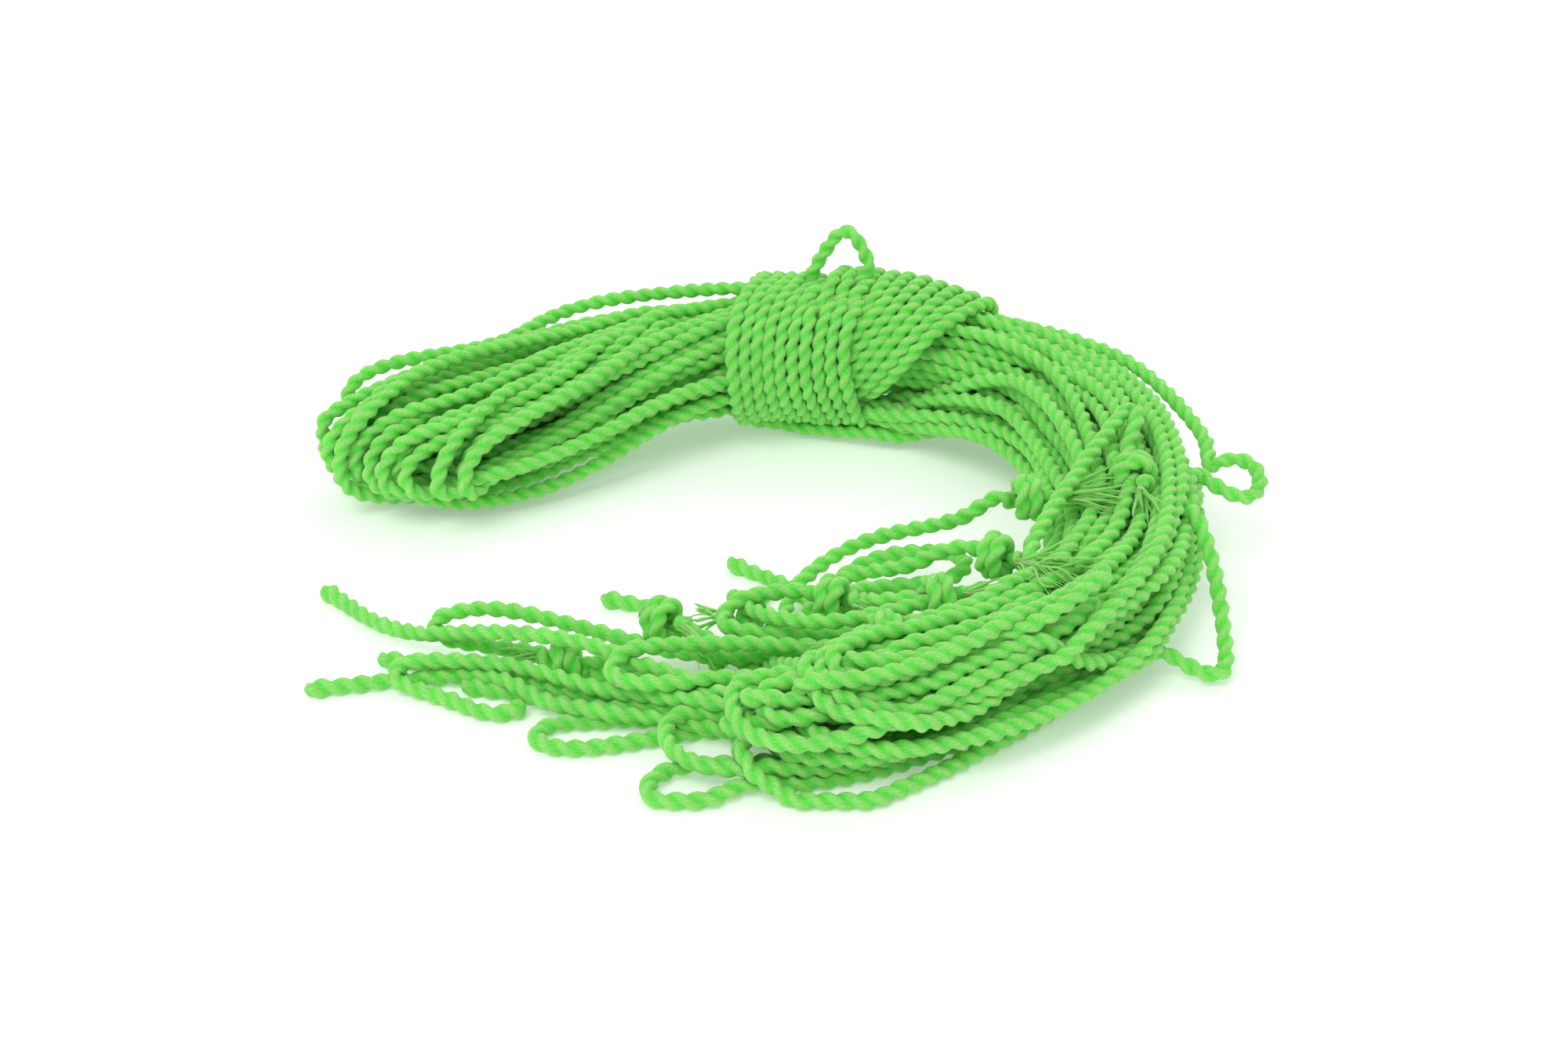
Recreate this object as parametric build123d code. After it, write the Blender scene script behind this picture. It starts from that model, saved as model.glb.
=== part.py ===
"""Ten thin twisted strings, folded together into one hank and tied round its middle.

Each string is wound three times round a flattened ring, and the ten rings are
nested side by side and laid in layers.  The whole hank is bent into a C that is
open to -X, and two turns of the strings themselves tie it at the middle of its
back leg (+Y).  Each string ends in a rounded loop end on one side and in an
overhand knot with a frayed tuft on the other.  Units are millimetres, +Z is up,
and the origin is on the resting plane under the middle of the hank.
"""
import os
from math import atan2, cos, pi, radians, sin, tan

from build123d import *

# ---- driving dimensions ----------------------------------------------------
STRING_DIAMETER = 1.3       # over both plies of one string
RING_DIAMETER = 2.5         # three turns of one string lying together
RING_CLEARANCE = 0.1        # between neighbouring rings, sideways and upwards
EYE_WIDTH = 0.5             # left open inside the innermost ring of a layer
RINGS_PER_LAYER = (2, 3, 3, 2)
FRONT_REACH = (8.0, 3.0, 0.0, -4.0)  # each layer's front end past the line's last point
TIE_SQUEEZE = 0.05          # each tying string is pressed that much narrower
TIE_CLEARANCE = 0.15        # between the tie and the rings
TIE_CORNER_RADIUS = 4.7     # inside corners of the tie
TIE_START = 29.5            # from the left end, along the hank's middle line
TIE_TURN_GAP = 0.1          # between the two turns
KNOT_DIAMETER = 3.4
KNOT_LENGTH = 4.0
KNOT_ROUNDING = 1.2
KNOT_CLEARANCE = 0.6        # a tail's square end meets the knot at an angle
TUFT_ROOT_DIAMETER = 1.5
TUFT_DIAMETER = 3.0
TUFT_LENGTH = 4.2
SHORT_RUN_SHARE = 0.45      # an arc takes this much of the shorter run

# ---- worked out from them ---------------------------------------------------
STRING_NAMES = [f"string_{number:02d}" for number in range(1, sum(RINGS_PER_LAYER) + 1)]
RING_PITCH = RING_DIAMETER + RING_CLEARANCE
LAYER_PITCH = RING_PITCH
INNER_HALF_WIDTH = (RING_DIAMETER + EYE_WIDTH) / 2
TIE_THICKNESS = STRING_DIAMETER     # the tying strings lie one deep round the hank
TIE_TURN_WIDTH = len(STRING_NAMES) * (STRING_DIAMETER - TIE_SQUEEZE)
HANK_LIFT = TIE_THICKNESS + TIE_CLEARANCE
HANK_HEIGHT = RING_DIAMETER + (len(RINGS_PER_LAYER) - 1) * LAYER_PITCH
HANK_MIDDLE = HANK_LIFT + HANK_HEIGHT / 2
HANK_HALF_WIDTH = INNER_HALF_WIDTH + (max(RINGS_PER_LAYER) - 1) * RING_PITCH + RING_DIAMETER / 2
TIE_INSIDE_WIDTH = 2 * (HANK_HALF_WIDTH + TIE_CLEARANCE)
TIE_INSIDE_HEIGHT = HANK_HEIGHT + 2 * TIE_CLEARANCE

# ---- the hank's middle line in plan, from its left end to its front end ------
HANK_LINE = (
    (-32.5, 15.0),
    (-20.5, 18.6),
    (-7.0, 26.0),
    (7.5, 27.6),
    (20.0, 22.0),
    (27.5, 12.5),
    (29.0, -1.0),
    (24.0, -12.5),
    (13.0, -20.0),
    (-1.0, -24.5),
)

# ---- free stretches that end in a loop end, from the hank outwards -----------
LOOP_ENDS = (
    ((-14.9, -26.2, 1.8), (-19.5, -24.2, 2.2), (-24.5, -20.9, 2.0), (-30.0, -18.4, 1.2),
     (-35.7, -18.5, 0.65)),
    ((-12.6, -18.9, 4.6), (-17.0, -17.8, 5.0), (-22.0, -15.6, 4.4), (-27.0, -12.8, 2.8),
     (-32.4, -9.4, 1.0), (-36.9, -3.9, 0.65)),
    ((-13.0, -20.2, 1.0), (-18.0, -19.6, 0.8), (-23.3, -17.6, 0.7), (-27.4, -15.4, 0.7),
     (-30.3, -12.4, 0.65)),
    ((0.4, -14.8, 1.0), (0.9, -10.4, 0.9), (0.3, -5.8, 0.8), (-1.2, -1.8, 0.7), (-4.5, 1.4, 0.65)),
    ((-4.4, -19.2, 1.1), (-5.0, -15.4, 1.0), (-6.2, -11.8, 0.8), (-8.2, -8.6, 0.7),
     (-11.4, -7.2, 0.65), (-14.4, -6.8, 0.65)),
    ((-13.3, -22.4, 0.7), (-16.4, -22.2, 0.7), (-19.8, -21.1, 0.65)),
    ((-13.9, -29.4, 0.9), (-18.3, -28.6, 0.7), (-22.5, -26.0, 0.7), (-26.0, -22.6, 0.65)),
    ((14.0, -22.6, 12.55), (18.2, -20.4, 12.55), (22.0, -16.8, 12.55)),
    ((-2.0, -15.2, 1.0), (-2.8, -11.6, 0.8), (-2.6, -7.8, 0.7), (-1.6, -4.2, 0.65)),
    ((-3.4, -21.4, 9.95), (-5.0, -24.2, 9.95), (-8.2, -26.4, 9.95)),
)

# ---- knots: middle of the knot, heading of its tuft in degrees ---------------
KNOTS = (
    ((11.6, 2.8, 1.75), 22.0),
    ((11.8, -1.9, 1.75), -10.0),
    ((10.8, -6.6, 1.75), 5.0),
    ((1.6, -8.2, 4.3), 35.0),
    ((-10.5, -13.0, 1.75), 160.0),
    ((8.2, -9.6, 4.9), 25.0),
    ((-16.5, -15.2, 1.75), 170.0),
    ((-4.1, -5.7, 3.5), 120.0),
    ((26.6, -3.5, 13.55), -100.0),
    ((8.4, -20.6, 13.55), 213.0),
)

# ---- free stretches that end in a knot, from the hank to the knot ------------
KNOT_TAILS = (
    ((3.6, -13.8, 1.0), (2.9, -9.8, 1.0), (2.8, -5.2, 1.1), (3.9, -1.0, 1.3), (6.8, 1.2, 1.6)),
    ((6.4, -13.0, 1.0), (5.4, -9.6, 1.0), (5.3, -5.8, 1.2), (7.2, -2.6, 1.6)),
    ((9.4, -13.4, 1.0), (8.0, -11.6, 1.1), (7.1, -9.6, 1.3), (7.2, -7.9, 1.6)),
    ((-2.3, -14.6, 5.4), (-2.2, -12.6, 5.0), (-1.2, -10.8, 4.6)),
    ((-6.8, -16.4, 1.3), (-7.2, -14.9, 1.5)),
    ((2.8, -14.2, 5.9), (4.4, -12.4, 5.4)),
    ((-9.4, -17.4, 1.2), (-11.6, -16.0, 1.5)),
    ((-5.6, -15.2, 4.4), (-5.0, -12.6, 4.0), (-3.6, -10.2, 3.7)),
    ((28.2, 7.6, 12.5), (28.2, 4.0, 12.5), (27.6, 1.0, 13.0)),
    ((15.8, -16.4, 12.5), (12.8, -17.9, 12.9)),
)

# ---- stray loops that stand, hang or lift off the hank -----------------------
STRAY_LOOPS = {
    "standing_loop": ((2.2, 28.2, 13.5), (2.8, 28.4, 16.2), (3.9, 28.2, 18.8), (5.3, 27.8, 20.6),
                      (6.8, 27.6, 18.8), (7.8, 27.6, 16.2), (8.4, 27.4, 13.5)),
    "lifted_strand_left": ((-39.2, 15.2, 9.95), (-38.2, 19.4, 9.95), (-34.4, 21.9, 10.0),
                           (-28.6, 23.6, 10.2), (-22.9, 25.6, 10.4)),
    "lifted_strand_back": ((-20.4, 26.8, 10.0), (-16.6, 29.7, 10.6), (-12.2, 31.4, 11.0), (-8.6, 32.2, 11.2)),
    "lifted_strand_right": ((27.2, 24.6, 10.0), (31.6, 19.8, 10.1), (34.6, 13.8, 10.1), (35.9, 8.2, 10.0)),
    "ring_loop": ((35.0, 5.6, 10.0), (37.8, 6.0, 9.7), (39.8, 3.6, 9.4), (38.2, 1.0, 9.7), (35.2, 1.4, 10.0)),
    "hanging_loop": ((34.6, -4.6, 10.0), (36.8, -6.6, 8.8), (36.9, -10.4, 5.5), (35.9, -14.8, 2.4),
                     (34.2, -18.4, 0.9), (31.6, -19.8, 0.7), (28.6, -19.6, 0.7)),
}


def heading(start, end):
    """Angle of the plan direction from one point to another, in radians."""
    return atan2(end[1] - start[1], end[0] - start[0])


def corner_radii(points):
    """The largest arcs that the runs on both sides of each corner allow."""
    vectors = [Vector(*point) for point in points]
    radii = []
    for before, corner, after in zip(vectors, vectors[1:], vectors[2:]):
        turn = radians((corner - before).get_angle(after - corner))
        shorter = min((corner - before).length, (after - corner).length)
        radii.append(SHORT_RUN_SHARE * shorter / tan(turn / 2))
    return radii


def rounded_path(points, radii):
    """Straight runs joined by tangent arcs."""
    if len(points) == 2:
        return Wire([Edge.make_line(Vector(*points[0]), Vector(*points[1]))])
    return Wire(FilletPolyline(*points, radius=radii).edges())


def tube(path, diameter):
    """A round rod along a path."""
    section = Plane(origin=path @ 0, z_dir=path % 0) * Circle(diameter / 2)
    return sweep(sections=section, path=path)


def layer_line(layer):
    """The hank's middle line at one layer's height and with its own front end."""
    height = HANK_LIFT + RING_DIAMETER / 2 + layer * LAYER_PITCH
    plan = list(HANK_LINE)
    angle = heading(plan[-2], plan[-1])
    reach = FRONT_REACH[layer]
    plan[-1] = (plan[-1][0] + reach * cos(angle), plan[-1][1] + reach * sin(angle))
    return [(x, y, height) for x, y in plan]


def parallel_line(points, distance):
    """A line moved sideways in plan, to its left where the distance is positive."""
    angles = [heading(start, end) for start, end in zip(points, points[1:])]
    behind = [angles[0]] + angles
    ahead = angles + [angles[-1]]
    moved = []
    for (x, y, z), first, second in zip(points, behind, ahead):
        side = (first + second) / 2 + pi / 2
        reach = distance / cos((second - first) / 2)
        moved.append((x + reach * cos(side), y + reach * sin(side), z))
    return moved


def parallel_radii(points, distance):
    """Corner radii of the moved line, so that its arcs share the line's centres."""
    radii = []
    for radius, before, corner, after in zip(corner_radii(points), points, points[1:], points[2:]):
        turns_left = sin(heading(corner, after) - heading(before, corner)) > 0
        radii.append(radius - distance if turns_left else radius + distance)
    return radii


def hank_ring(layer, half_width):
    """Three turns of one string: a flattened ring that follows the bent hank."""
    line = layer_line(layer)
    sides = [rounded_path(parallel_line(line, way * half_width), parallel_radii(line, way * half_width))
             for way in (1, -1)]
    ends = []
    for point, angle, place in ((line[-1], heading(line[-2], line[-1]), 1),
                                (line[0], heading(line[1], line[0]), 0)):
        tip = Vector(*point) + Vector(cos(angle), sin(angle)) * half_width
        ends.append(ThreePointArc(sides[0] @ place, tip, sides[1] @ place))
    front_end, left_end = ends
    body = tube(Wire([*sides[0].edges(), *front_end.edges(), *sides[1].edges()]), RING_DIAMETER)
    return body + tube(Wire(left_end.edges()), RING_DIAMETER)


def tie_turns():
    """Two turns of all ten strings round the hank, side by side."""
    line = [(x, y, HANK_MIDDLE) for x, y in HANK_LINE]
    whole = rounded_path(line, corner_radii(line))
    inside = RectangleRounded(TIE_INSIDE_WIDTH, TIE_INSIDE_HEIGHT, TIE_CORNER_RADIUS)
    outside = RectangleRounded(TIE_INSIDE_WIDTH + 2 * TIE_THICKNESS, TIE_INSIDE_HEIGHT + 2 * TIE_THICKNESS,
                               TIE_CORNER_RADIUS + TIE_THICKNESS)
    turns = []
    for index in range(2):
        start = TIE_START + index * (TIE_TURN_WIDTH + TIE_TURN_GAP)
        path = whole.trim(start / whole.length, (start + TIE_TURN_WIDTH) / whole.length)
        square = Plane(origin=path @ 0, x_dir=(path % 0).cross(Vector(0, 0, 1)), z_dir=path % 0)
        turns.append(sweep(sections=square * outside, path=path) - sweep(sections=square * inside, path=path))
    return turns


def knot(middle, angle):
    """An overhand knot, drawn tight, with the frayed end of its string."""
    flare = TUFT_DIAMETER / 2
    body = Rot(0, 90, 0) * Cylinder(KNOT_DIAMETER / 2, KNOT_LENGTH)
    body = fillet(body.edges().filter_by(GeomType.CIRCLE), KNOT_ROUNDING)
    tuft = Pos(KNOT_LENGTH / 2 + TUFT_LENGTH / 2, 0, 0) * Rot(0, 90, 0) * Cone(
        TUFT_ROOT_DIAMETER / 2, flare, TUFT_LENGTH)
    return Pos(*middle) * Rot(0, 0, angle) * (body + tuft)


def tail_end(middle, angle):
    """Where the tail ends, behind its knot."""
    x, y, z = middle
    back = KNOT_LENGTH / 2 + KNOT_CLEARANCE
    return (x - back * cos(radians(angle)), y - back * sin(radians(angle)), z)


def build():
    """Every node's name with its solid."""
    nodes = {}
    names = iter(STRING_NAMES)
    for layer, count in enumerate(RINGS_PER_LAYER):
        for place in range(count):
            nodes[f"{next(names)}_hank"] = hank_ring(layer, INNER_HALF_WIDTH + place * RING_PITCH)
    nodes["tie_first_turn"], nodes["tie_second_turn"] = reversed(tie_turns())
    free = {}
    for name, points in zip(STRING_NAMES, LOOP_ENDS):
        free[f"{name}_loop_end"] = points
    for name, points, (middle, angle) in zip(STRING_NAMES, KNOT_TAILS, KNOTS):
        free[f"{name}_knot_tail"] = (*points, tail_end(middle, angle))
        nodes[f"{name}_knot"] = knot(middle, angle)
    free.update(STRAY_LOOPS)
    for name, points in free.items():
        radii = corner_radii(points)
        path = rounded_path(points, radii)
        nodes[name] = tube(path, STRING_DIAMETER)
        expected = path.length * pi * STRING_DIAMETER ** 2 / 4
        print(name, "length", round(path.length, 1), "radii", [round(radius, 1) for radius in radii],
              "volume to section times length", round(nodes[name].volume / expected, 4))
    return nodes


def plan_centre(shapes):
    """The middle of the whole hank's box in plan, on the resting plane."""
    boxes = [shape.bounding_box(optimal=True) for shape in shapes]
    x = (min(box.min.X for box in boxes) + max(box.max.X for box in boxes)) / 2
    y = (min(box.min.Y for box in boxes) + max(box.max.Y for box in boxes)) / 2
    return Vector(x, y, 0)


def main():
    os.makedirs("parts", exist_ok=True)
    nodes = build()
    centre = plan_centre(nodes.values())
    print("drawing's centre in plan", round(centre.X, 3), round(centre.Y, 3))
    for name, shape in nodes.items():
        export_step(Pos(-centre) * shape, f"parts/{name}.step")


main()
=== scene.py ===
"""Looks of a hank of ten thin twisted strings, bent into a C and tied round its back leg.

Each string is one line: a free stretch from its rounded loop end, three laps of the
hank, two turns of the tie, a second free stretch, and an overhand knot with a frayed
tuft.  The lines are laid out in millimetres, in the drawing's own coordinates, then
settled as thin limp cords that push each other apart and lie on the floor, and at
last covered with a two-ply skin.
"""
from math import atan2, cos, pi, radians, sin

import bpy
import numpy as np
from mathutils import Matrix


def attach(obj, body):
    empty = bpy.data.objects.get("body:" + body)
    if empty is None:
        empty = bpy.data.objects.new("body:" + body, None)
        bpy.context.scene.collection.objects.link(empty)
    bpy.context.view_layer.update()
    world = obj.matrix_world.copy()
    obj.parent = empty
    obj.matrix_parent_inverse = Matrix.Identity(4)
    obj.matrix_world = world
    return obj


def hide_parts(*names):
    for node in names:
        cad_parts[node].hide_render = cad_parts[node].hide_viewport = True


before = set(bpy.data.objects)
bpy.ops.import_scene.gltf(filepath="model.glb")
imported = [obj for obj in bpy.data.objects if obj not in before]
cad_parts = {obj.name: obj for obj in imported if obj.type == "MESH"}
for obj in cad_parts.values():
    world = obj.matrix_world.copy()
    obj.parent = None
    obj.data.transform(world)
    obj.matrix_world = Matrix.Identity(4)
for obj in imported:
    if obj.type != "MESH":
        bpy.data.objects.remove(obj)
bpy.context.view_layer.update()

# ---- sizes in millimetres --------------------------------------------------------------
MM = 0.001
STRING_DIAMETER = 1.3
STRING_RADIUS = STRING_DIAMETER / 2
PLY_RADIUS = 0.335 * STRING_DIAMETER
PLY_OFFSET = 0.18 * STRING_DIAMETER
TWIST_PITCH = 2.2 * STRING_DIAMETER
RING_STEP = 0.2             # along the string, between rings of its skin
RING_SIDES = 14
NODE_STEP = 1.05            # along the string, between nodes while it settles

# how firmly a part of a string is held where it was laid, while it settles
HELD = 1.0                  # a knot, which stays where it is put
LOOP_HOLD = 0.4
STRAY_HOLD = 0.3            # a stray strand, and the tie
END_HOLD = 0.25
TAIL_HOLD = 0.2
FRONT_BEND_HOLD = 0.05
LEFT_BEND_HOLD = 0.03
LOOSE = 0.01                # a strand of the hank, which the others push about

DRAWING_CENTRE = np.array([-0.219, 1.546, 0.0])   # part.py shifts its solids by this
STRINGS = 10
LAPS = 3
STRING_NAMES = [f"string_{number:02d}" for number in range(1, STRINGS + 1)]
rng = np.random.default_rng(11)

# ---- the routes' points: part.py's routes, moved to how the strings lie ----------------
HANK_LINE = (
    (-32.0, 11.8), (-20.6, 18.9), (-8.6, 28.2), (6.5, 28.6), (21.2, 24.6),
    (28.7, 12.8), (29.0, -0.4), (27.4, -11.0), (18.6, -17.8), (9.2, -24.9), (-0.2, -26.6),
)
LOOP_ENDS = (
    ((-9.0, -23.4, 1.6), (-13.7, -23.2, 1.5), (-17.6, -21.2, 1.3), (-21.0, -18.2, 0.9),
     (-24.6, -17.0, 0.7), (-28.3, -16.9, 0.7), (-31.7, -17.8, 0.7), (-35.8, -18.5, 0.65)),
    ((-12.6, -18.9, 4.6), (-17.0, -17.8, 5.0), (-21.6, -15.8, 4.2), (-25.4, -14.0, 2.8),
     (-29.2, -11.8, 1.5), (-32.4, -8.9, 0.8), (-34.6, -6.2, 0.7), (-36.9, -3.8, 0.65)),
    ((-13.0, -20.2, 1.0), (-18.0, -18.6, 0.8), (-23.0, -15.8, 0.7), (-27.2, -14.8, 0.7),
     (-31.0, -14.2, 0.65)),
    ((0.8, -14.8, 1.2), (2.6, -11.4, 1.3), (2.8, -7.4, 1.2), (0.6, -3.6, 0.9), (-2.0, -1.6, 0.7),
     (-4.6, 0.6, 0.65)),
    ((-4.4, -19.2, 1.1), (-5.0, -15.4, 1.0), (-6.2, -11.8, 0.8), (-8.2, -7.8, 0.7),
     (-11.4, -6.0, 0.65), (-14.6, -5.2, 0.65)),
    ((-13.3, -21.4, 0.7), (-17.4, -20.2, 0.7), (-21.0, -18.4, 0.7), (-24.1, -17.4, 0.7)),
    ((-9.7, -22.0, 2.0), (-14.0, -20.6, 2.2), (-18.1, -18.3, 2.2), (-21.6, -17.0, 2.2),
     (-25.7, -16.7, 2.2), (-29.0, -16.6, 2.0), (-29.8, -17.8, 1.2), (-27.2, -18.7, 0.7),
     (-24.6, -19.8, 0.7), (-22.4, -21.6, 0.7), (-20.2, -22.3, 0.7), (-19.3, -20.6, 0.7)),
    ((12.8, -23.8, 6.8), (18.0, -22.8, 9.0), (21.4, -20.8, 10.4), (23.6, -18.0, 10.8)),
    ((-2.0, -15.2, 1.0), (-2.8, -11.6, 0.8), (-2.6, -7.8, 0.7), (-1.6, -4.2, 0.65)),
    ((17.4, -11.6, 6.4), (12.0, -14.6, 6.4), (7.2, -17.4, 6.6), (3.6, -18.4, 6.4), (0.4, -17.0, 5.8),
     (-2.6, -14.4, 5.0), (-3.6, -10.8, 4.0)),
)
# from the hank to each knot
KNOT_TAILS = (
    ((2.0, -15.8, 1.0), (-0.4, -10.8, 1.0), (0.4, -5.8, 1.6), (3.6, -1.8, 2.6), (7.4, -1.2, 4.2),
     (11.3, -2.0, 5.4), (15.2, -3.2, 7.0)),
    ((5.4, -14.0, 1.0), (2.0, -9.6, 1.0), (2.2, -6.4, 2.0), (5.8, -6.4, 4.0), (9.8, -9.4, 5.8)),
    ((9.4, -15.4, 1.0), (4.0, -11.6, 1.0), (3.0, -5.4, 1.6), (6.6, -2.6, 3.0), (11.6, -3.4, 4.2),
     (15.0, -5.8, 4.8), (13.4, -9.2, 4.6), (8.4, -9.0, 4.0), (4.4, -9.8, 4.2), (5.2, -13.4, 5.0)),
    ((-5.3, -16.6, 4.4), (-4.8, -13.6, 4.8)),
    ((-2.8, -18.4, 1.3), (-3.2, -15.2, 1.8)),
    ((10.8, -18.2, 3.9), (11.4, -17.4, 3.2)),
    ((-7.4, -19.4, 1.2), (-11.0, -17.0, 1.5)),
    ((5.6, -17.2, 2.4), (2.0, -14.6, 2.2)),
    ((28.6, 8.0, 12.2), (28.8, 3.8, 12.2)),
    ((16.0, -15.0, 7.4), (13.2, -18.6, 7.4)),
)
# middle of each knot, and of its tuft the heading in degrees, the rise and the number of yarns
KNOTS = (
    ((19.2, -3.4, 8.8), -4.0, 0.3, 46),
    ((16.1, -11.0, 7.9), -38.0, 0.3, 46),
    ((11.6, -14.9, 6.6), 4.0, 0.05, 28),
    ((3.7, -13.2, 5.4), -30.0, -0.2, 24),
    ((-9.2, -13.6, 3.8), -42.0, -0.1, 14),
    ((6.6, -15.8, 3.0), 160.0, -0.08, 14),
    ((-16.5, -16.2, 2.0), 170.0, -0.08, 10),
    ((-2.6, -12.2, 2.8), 165.0, -0.08, 14),
    ((27.6, -2.0, 10.2), -84.0, 0.0, 10),
    ((7.4, -20.6, 6.8), 196.0, -0.3, 24),
)


def spline_points(points, resolution):
    """Points along the smooth NURBS line that has these control points."""
    curve = bpy.data.curves.new("route", "CURVE")
    curve.dimensions = "3D"
    curve.resolution_u = resolution
    spline = curve.splines.new("NURBS")
    spline.points.add(len(points) - 1)
    for point, place in zip(spline.points, points):
        point.co = (*(float(value) for value in place), 1.0)
    spline.order_u = 3
    spline.use_endpoint_u = True
    route = bpy.data.objects.new("route", curve)
    mesh = bpy.data.meshes.new_from_object(route)
    places = np.empty(len(mesh.vertices) * 3)
    mesh.vertices.foreach_get("co", places)
    bpy.data.objects.remove(route)
    bpy.data.curves.remove(curve)
    bpy.data.meshes.remove(mesh)
    return places.reshape(-1, 3)


def travelled(line):
    """Distance from the line's start to each of its points."""
    return np.concatenate([[0.0], np.cumsum(np.linalg.norm(np.diff(line, axis=0), axis=1))])


def even_points(line, step):
    """Points a fixed step apart along a line."""
    far = travelled(line)
    places = np.linspace(0.0, far[-1], max(int(round(far[-1] / step)), 2) + 1)
    return np.stack([np.interp(places, far, line[:, axis]) for axis in range(3)], axis=1)


# ---- the hank: its middle line, and its section along it -------------------------------
middle_line = spline_points([(x, y, 0.0) for x, y in HANK_LINE], 24)
middle_far = travelled(middle_line) / travelled(middle_line)[-1]

# share of the line, half width, half height, height of the middle, turn of the section
SECTIONS = np.array((
    (0.00, 8.2, 4.9, 5.8, 90.0),
    (0.10, 7.2, 4.8, 6.2, 78.0),
    (0.19, 6.0, 4.6, 7.8, 48.0),
    (0.26, 5.7, 4.5, 8.3, 24.0),
    (0.33, 5.5, 4.3, 8.2, 15.0),
    (0.41, 5.7, 4.3, 8.1, 10.0),
    (0.50, 6.4, 4.7, 7.2, 6.0),
    (0.57, 6.5, 5.0, 6.5, 3.0),
    (0.63, 6.1, 5.0, 6.0, 0.0),
    (0.72, 5.4, 4.6, 5.2, 0.0),
    (0.80, 5.3, 4.4, 4.9, 0.0),
    (0.90, 5.4, 4.1, 4.6, 0.0),
    (1.00, 5.5, 3.8, 4.3, 0.0),
))


def middle_at(share):
    """A point of the middle line, and its direction, at a share of its length."""
    behind, place, ahead = (
        np.array([np.interp(share + step, middle_far, middle_line[:, axis]) for axis in range(2)])
        for step in (-0.01, 0.0, 0.01)
    )
    along = (ahead - behind) / np.linalg.norm(ahead - behind)
    return place, along


def section_point(share, outward, upward, beyond=0.0):
    """A point of the section from its own outward and upward millimetres."""
    place, along = middle_at(min(max(share, 0.0), 1.0))
    side = np.array([-along[1], along[0]])
    plan = place + along * beyond + side * outward
    height = np.interp(share, SECTIONS[:, 0], SECTIONS[:, 3])
    return np.array([plan[0], plan[1], height + upward])


def slot_offsets(share, fan, nest):
    """Outward and upward millimetres of a strand's place in the section's unit disc."""
    half_width, half_height, _, degrees = (
        np.interp(share, SECTIONS[:, 0], SECTIONS[:, column]) for column in range(1, 5)
    )
    turn = radians(degrees)
    outward = nest * cos(turn) - fan * sin(turn)
    upward = nest * sin(turn) + fan * cos(turn)
    return outward * (half_width - STRING_RADIUS), upward * (half_height - STRING_RADIUS)


SLOT_PITCH = 0.262          # between neighbouring strands, in the section's unit disc
ROW_HEIGHT = 0.866          # between rows of them, as a share of that
LAP_SHUFFLE = 1.1           # how far strings change places from one lap to the next


def half_disc_slots(count):
    """The innermost places of a hexagonal grid in the upper half of the unit disc, by row."""
    found = []
    for row in range(8):
        nest = (row + 0.5) * SLOT_PITCH * ROW_HEIGHT
        for column in range(-8, 9):
            fan = (column + 0.5 * (row % 2)) * SLOT_PITCH
            found.append((np.hypot(fan, nest), fan, nest))
    found = sorted(found)[:count]
    return sorted(((fan, nest) for _, fan, nest in found), key=lambda slot: slot[1])


def lap_slots():
    """For each lap, each string's place: laps nest outwards, strings fan out in order."""
    slots = half_disc_slots(STRINGS * LAPS)
    laps = []
    for lap in range(LAPS):
        row = sorted(slots[lap * STRINGS:(lap + 1) * STRINGS])
        order = np.argsort(np.arange(STRINGS) + rng.normal(0.0, LAP_SHUFFLE, STRINGS))
        places = [None] * STRINGS
        for slot, string in zip(row, order):
            places[string] = slot
        laps.append(places)
    return laps


# ---- what each string's route is made of -----------------------------------------------
LEFT_SHARE = 0.035          # where the bend at the left end starts
FRONT_SHARE = 0.97          # where the bend at the front end starts
LOOP_SHARE = 0.86           # where a strand that makes a front loop leaves the hank
PASS_SHARES = (LEFT_SHARE, 0.11, 0.19, 0.265, 0.34, 0.415, 0.49, 0.56, 0.63, 0.70, 0.77, 0.84, 0.91,
               FRONT_SHARE)
STILL_SHARE = 0.34          # where strands keep their places best, under the tie
STILL_DRIFT = 0.04          # how far they stray there, in the section's unit disc
FREE_DRIFT = 0.26           # how much further they stray a quarter of the hank away
BEND_BULGE = 1.15           # a bend's control points stand outside its arc by this
BEND_ANGLES = (42.0, 90.0, 138.0)    # where they are, in degrees from the bend's start
LEAST_BEND = 1.6            # least radius of a bend at either end of the hank
LEFT_REACH = 2.2            # how far the bends stand past the left end
LEFT_STRAY = 1.8            # how far each strays from that
FRONT_REACH = 1.2           # how far the bends stand past the front end
FRONT_STRAY = 2.5           # how far each strays from that


def run(slot, upper, start, end):
    """A strand's points along the hank, from one share of it to another."""
    fan, nest = slot
    nest = nest if upper else -nest
    phases = rng.uniform(0, 2 * pi, 4)
    shares = [share for share in PASS_SHARES if min(start, end) <= share <= max(start, end)]
    points = []
    for share in shares:
        drift = STILL_DRIFT + FREE_DRIFT * min(abs(share - STILL_SHARE) / 0.25, 1.0)
        drift_fan = drift * (sin(7.0 * share + phases[0]) + 0.6 * sin(17.0 * share + phases[1]))
        drift_nest = drift * (sin(6.0 * share + phases[2]) + 0.6 * sin(15.0 * share + phases[3]))
        offsets = slot_offsets(share, fan + drift_fan, nest + drift_nest)
        points.append(section_point(share, *offsets))
    return points if start < end else points[::-1]


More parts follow.
